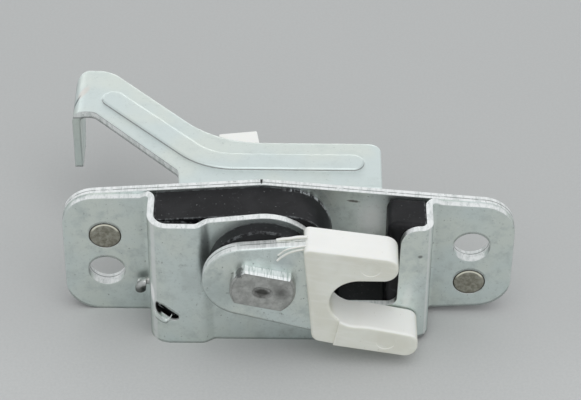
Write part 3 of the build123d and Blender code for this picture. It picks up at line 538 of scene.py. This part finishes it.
HEAD_MARKS = [
    (dict(centre=(-6.2, -19.5, 6.6), radii=(2.7, 3.0, 1.7), turn=(0, 10, 0), soft=0.6, ragged=0.5,
          grain=0.7), (58, 57, 54), 0.86),
    (dict(centre=(-1.6, -19.5, 7.0), radii=(2.6, 3.0, 3.3), soft=0.95, ragged=0.4, grain=1.0),
     (90, 90, 88), 0.72),
    (dict(centre=(-11.6, -18.4, 12.6), radii=(1.5, 2.5, 1.7), soft=0.5, ragged=1.2, grain=0.4),
     (66, 70, 68), 0.85),
]
BLOCK_MARKS = [
    (rear_rim_wear_and_highlight, (176, 180, 182), 0.85),
]

# Streaks of a cut edge run through the sheet, so they are long along its thickness
PLATE_STREAKS = (0.9, 5.0, 5.0)
HOUSING_STREAKS = (0.8, 3.0, 0.8)
FORK_STREAKS = (0.8, 6.0, 6.0)
LEVER_STREAKS = (1.2, 1.2, 5.0)
FINISHES = {
    "zinc_sheet": zinc("zinc_plain", cut_across_y, PLATE_STREAKS),
    "spindle_steel": spindle_steel("machined_steel"),
    "spring_steel": spring_steel("spring_steel"),
    "white_nylon": natural_nylon("natural_nylon"),
    "black_plastic": black_acetal("black_acetal", gloss=0.16),
}
# the hook's wire gets painted shade on its underside
HOOK_FINISH = spring_steel("spring_steel_hook", shade_below=0.9)
NODE_FINISHES = {
    "back_plate": zinc("zinc_back_plate", cut_across_y, PLATE_STREAKS,
                       cut_line(1, PLATE_CUT_LINE_Y, 0.22), PLATE_MARKS),
    "front_housing": zinc("zinc_housing", cut_of_housing, HOUSING_STREAKS, None, HOUSING_MARKS,
                          dirt=0.85, painted_highlight=WALL_PAINTED_HIGHLIGHT),
    "fork_plate": zinc("zinc_fork_plate", cut_across_y, FORK_STREAKS,
                       cut_line(1, FORK_CUT_LINE_Y, 0.2), FORK_MARKS),
    "release_lever": zinc("zinc_lever", cut_of_lever, LEVER_STREAKS,
                          rims_of_cut(2, LEVER_MID_Z, 1.0), LEVER_MARKS, dirt=0.3, round_mm=0.8),
    "rivet_left": rivet_steel("rivet_steel_left", "rivet_left"),
    "rivet_right": rivet_steel("rivet_steel_right", "rivet_right"),
    "spindle": spindle_steel("spindle_head_steel", HEAD_MARKS),
    "mechanism_block": black_acetal("black_acetal_block", gloss=0.14, marks=BLOCK_MARKS),
    "thrust_washer": black_acetal("black_acetal_washer", gloss=0.26),
}


def dress_nodes():
    """Gives each CAD node its own finish, or else that of its slot in the record."""
    slots = {part["node"]: part["material_slot"] for part in frame["record"]["subparts"]}
    for name, node in frame["nodes"].items():
        finish = NODE_FINISHES.get(name) or FINISHES[slots[name]]
        for place in node.material_slots:
            place.material = finish


# Small pieces that the CAD model leaves out

def in_metres(point):
    return Vector(point) * MM


def start_piece(name):
    """Names the primitive that was just added and opens it for editing."""
    piece = bpy.context.object
    piece.name = name
    bpy.ops.object.mode_set(mode="EDIT")
    return piece


def close_piece(piece, body, slot, finish=None, smooth_deg=40.0):
    """Closes holes, turns faces out, settles the place into the mesh, gives body and finish."""
    bpy.ops.mesh.select_all(action="SELECT")
    bpy.ops.mesh.remove_doubles(threshold=0.01 * MM)
    bpy.ops.mesh.fill_holes(sides=0)
    bpy.ops.mesh.normals_make_consistent(inside=False)
    bpy.ops.object.mode_set(mode="OBJECT")
    bpy.ops.object.transform_apply(location=True, rotation=True, scale=True)
    bpy.ops.object.shade_smooth_by_angle(angle=math.radians(smooth_deg))
    piece.data.materials.clear()
    piece.data.materials.append(finish or FINISHES[slot])
    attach(piece, body)
    return piece


def make_lance_lip():
    """Raised lip that the punch left round the lower left side of the slot in the housing: a
    ring, cut at two angles from the lip's middle, with both ends drawn thin."""
    ring_r, wall_r = 4.0, 0.62
    centre = in_metres((-28.0, FACE_Y + 0.05, -6.1))
    middle = Vector((-0.595, 0.0, -0.804))
    ends_deg = (-36.0, 50.0)
    end_share, end_reach = 0.4, 1.5
    bpy.ops.object.select_all(action="DESELECT")
    bpy.ops.mesh.primitive_torus_add(major_radius=ring_r * MM, minor_radius=wall_r * MM,
                                     major_segments=72, minor_segments=14, location=centre,
                                     rotation=(math.radians(90.0), 0.0, 0.0))
    lip = start_piece("lance_lip")
    for angle in ends_deg:
        keep_side = Matrix.Rotation(math.radians(angle), 3, "Y") @ middle
        plane = keep_side.cross(Vector((0.0, 1.0, 0.0)))
        plane = plane if plane.dot(middle) < 0.0 else -plane
        bpy.ops.mesh.select_all(action="SELECT")
        bpy.ops.mesh.bisect(plane_co=centre, plane_no=plane, use_fill=True, clear_outer=True)
        bpy.ops.transform.resize(value=(end_share, end_share, end_share),
                                 use_proportional_edit=True, proportional_edit_falloff="SMOOTH",
                                 proportional_size=end_reach * MM)
    return close_piece(lip, "housing", "zinc_sheet")


def make_spring_hook():
    """Turned-down end of the pawl spring's leg, outside the housing's left wall."""
    wire_r, bend_r, drop = 1.3, 1.4, 0.8
    start_x, leg_y, leg_z = WALL_LEFT_X - 1.2, -2.6, -5.9
    bpy.ops.object.select_all(action="DESELECT")
    bpy.ops.mesh.primitive_circle_add(vertices=24, radius=wire_r * MM, fill_type="NOTHING",
                                      location=in_metres((start_x, leg_y, leg_z)),
                                      rotation=(0.0, math.radians(90.0), 0.0))
    hook = start_piece("spring_hook")
    bpy.ops.mesh.select_all(action="SELECT")
    bpy.ops.mesh.spin(steps=8, angle=math.radians(90.0), axis=(0.0, 1.0, 0.0),
                      center=in_metres((start_x, leg_y, leg_z - bend_r)))
    bpy.ops.mesh.extrude_region_move(
        TRANSFORM_OT_translate={"value": in_metres((0.0, 0.0, -drop))})
    return close_piece(hook, "housing", "spring_steel", HOOK_FINISH)


STRAND_Y = FORK_FRONT_Y - 0.08       # strands rest on the front of the fork's plate
WISPS = {                            # the points of each strand and its thickness
    "nylon_wisp_upper": ([(4.2, STRAND_Y, 19.9), (2.0, STRAND_Y, 19.5),
                          (-0.6, STRAND_Y - 0.2, 18.9), (-1.6, STRAND_Y, 17.6),
                          (-2.4, STRAND_Y, 16.9)], 0.4),
    "nylon_wisp_lower": ([(4.2, STRAND_Y, 18.9), (1.8, STRAND_Y - 0.1, 18.6),
                          (-0.4, STRAND_Y, 17.4), (-2.0, STRAND_Y, 16.0),
                          (-2.6, STRAND_Y, 15.2)], 0.6),
    "nylon_flash_rear": ([(4.4, -14.7, 20.4), (2.2, -14.5, 20.25), (0.2, -14.7, 19.8),
                          (-1.4, -14.5, 19.6), (-2.8, -14.6, 19.25)], 0.8),
}


def make_strand(name, points, thickness, body, slot):
    """Thin round strand through points."""
    bpy.ops.object.select_all(action="DESELECT")
    bpy.ops.curve.primitive_nurbs_path_add()
    strand = bpy.context.object
    strand.name = name
    path = strand.data.splines[0]
    while len(path.points) < len(points):
        path.points.add(1)
    for knot, point in zip(path.points, points):
        knot.co = (*in_metres(point), 1.0)
    path.use_endpoint_u = True
    path.order_u = 3
    strand.data.bevel_depth = thickness / 2.0 * MM
    strand.data.bevel_resolution = 2
    strand.data.use_fill_caps = True
    strand.location = (0.0, 0.0, 0.0)
    bpy.ops.object.convert(target="MESH")
    bpy.ops.object.mode_set(mode="EDIT")
    return close_piece(bpy.context.object, body, slot, smooth_deg=60.0)


# Stage

def make_floor():
    """Pale grey table that runs well past the picture, under the latch's lowest edges."""
    bpy.ops.object.select_all(action="DESELECT")
    bpy.ops.mesh.primitive_plane_add(size=FLOOR_SIZE, location=(0, 0, CAD_BOX[0][2]))
    floor = bpy.context.object
    floor.name = "floor"
    floor.data.materials.append(table_grey())


def add_softbox(name, at, size, watts):
    """Rectangular lamp that faces the latch."""
    light = bpy.data.lights.new(name, "AREA")
    light.shape = "RECTANGLE"
    light.size, light.size_y = size
    light.energy = watts
    lamp = bpy.data.objects.new(name, light)
    lamp.location = at
    lamp.rotation_euler = (-Vector(at)).to_track_quat("-Z", "Y").to_euler()
    bpy.context.scene.collection.objects.link(lamp)


def light_scene():
    world = bpy.data.worlds.new("studio")
    bpy.context.scene.world = world
    world.use_nodes = True
    back = world.node_tree.nodes["Background"]
    back.inputs["Color"].default_value = WORLD_COLOUR
    back.inputs["Strength"].default_value = WORLD_STRENGTH
    for name, (at, size, watts) in SOFTBOXES.items():
        add_softbox(name, at, size, watts)


def set_camera():
    """Camera looking down at the latch's front, with the photograph's slight roll."""
    forward = Vector((0.0, math.cos(VIEW_ELEVATION), -math.sin(VIEW_ELEVATION)))
    level = Vector((1.0, 0.0, 0.0))
    rise = level.cross(forward)
    place = -(forward * VIEW_DISTANCE + level * ORIGIN_RIGHT + rise * ORIGIN_UP)
    right = level * math.cos(VIEW_ROLL) + rise * math.sin(VIEW_ROLL)
    up = rise * math.cos(VIEW_ROLL) - level * math.sin(VIEW_ROLL)
    data = bpy.data.cameras.new("photo_view")
    data.sensor_width = SENSOR_MM
    data.lens = FOCAL_PX / FRAME_WIDTH_PX * SENSOR_MM
    data.clip_start = CLIP_START
    camera = bpy.data.objects.new("photo_view", data)
    turn = Matrix((right, up, -forward)).transposed().to_4x4()
    camera.matrix_world = Matrix.Translation(place) @ turn
    bpy.context.scene.collection.objects.link(camera)
    bpy.context.scene.camera = camera


dress_nodes()
make_lance_lip()
make_spring_hook()
for wisp, (knots, thickness) in WISPS.items():
    make_strand(wisp, knots, thickness, "fork", "white_nylon")
make_floor()
light_scene()
set_camera()
bpy.context.scene.view_settings.view_transform = "Standard"
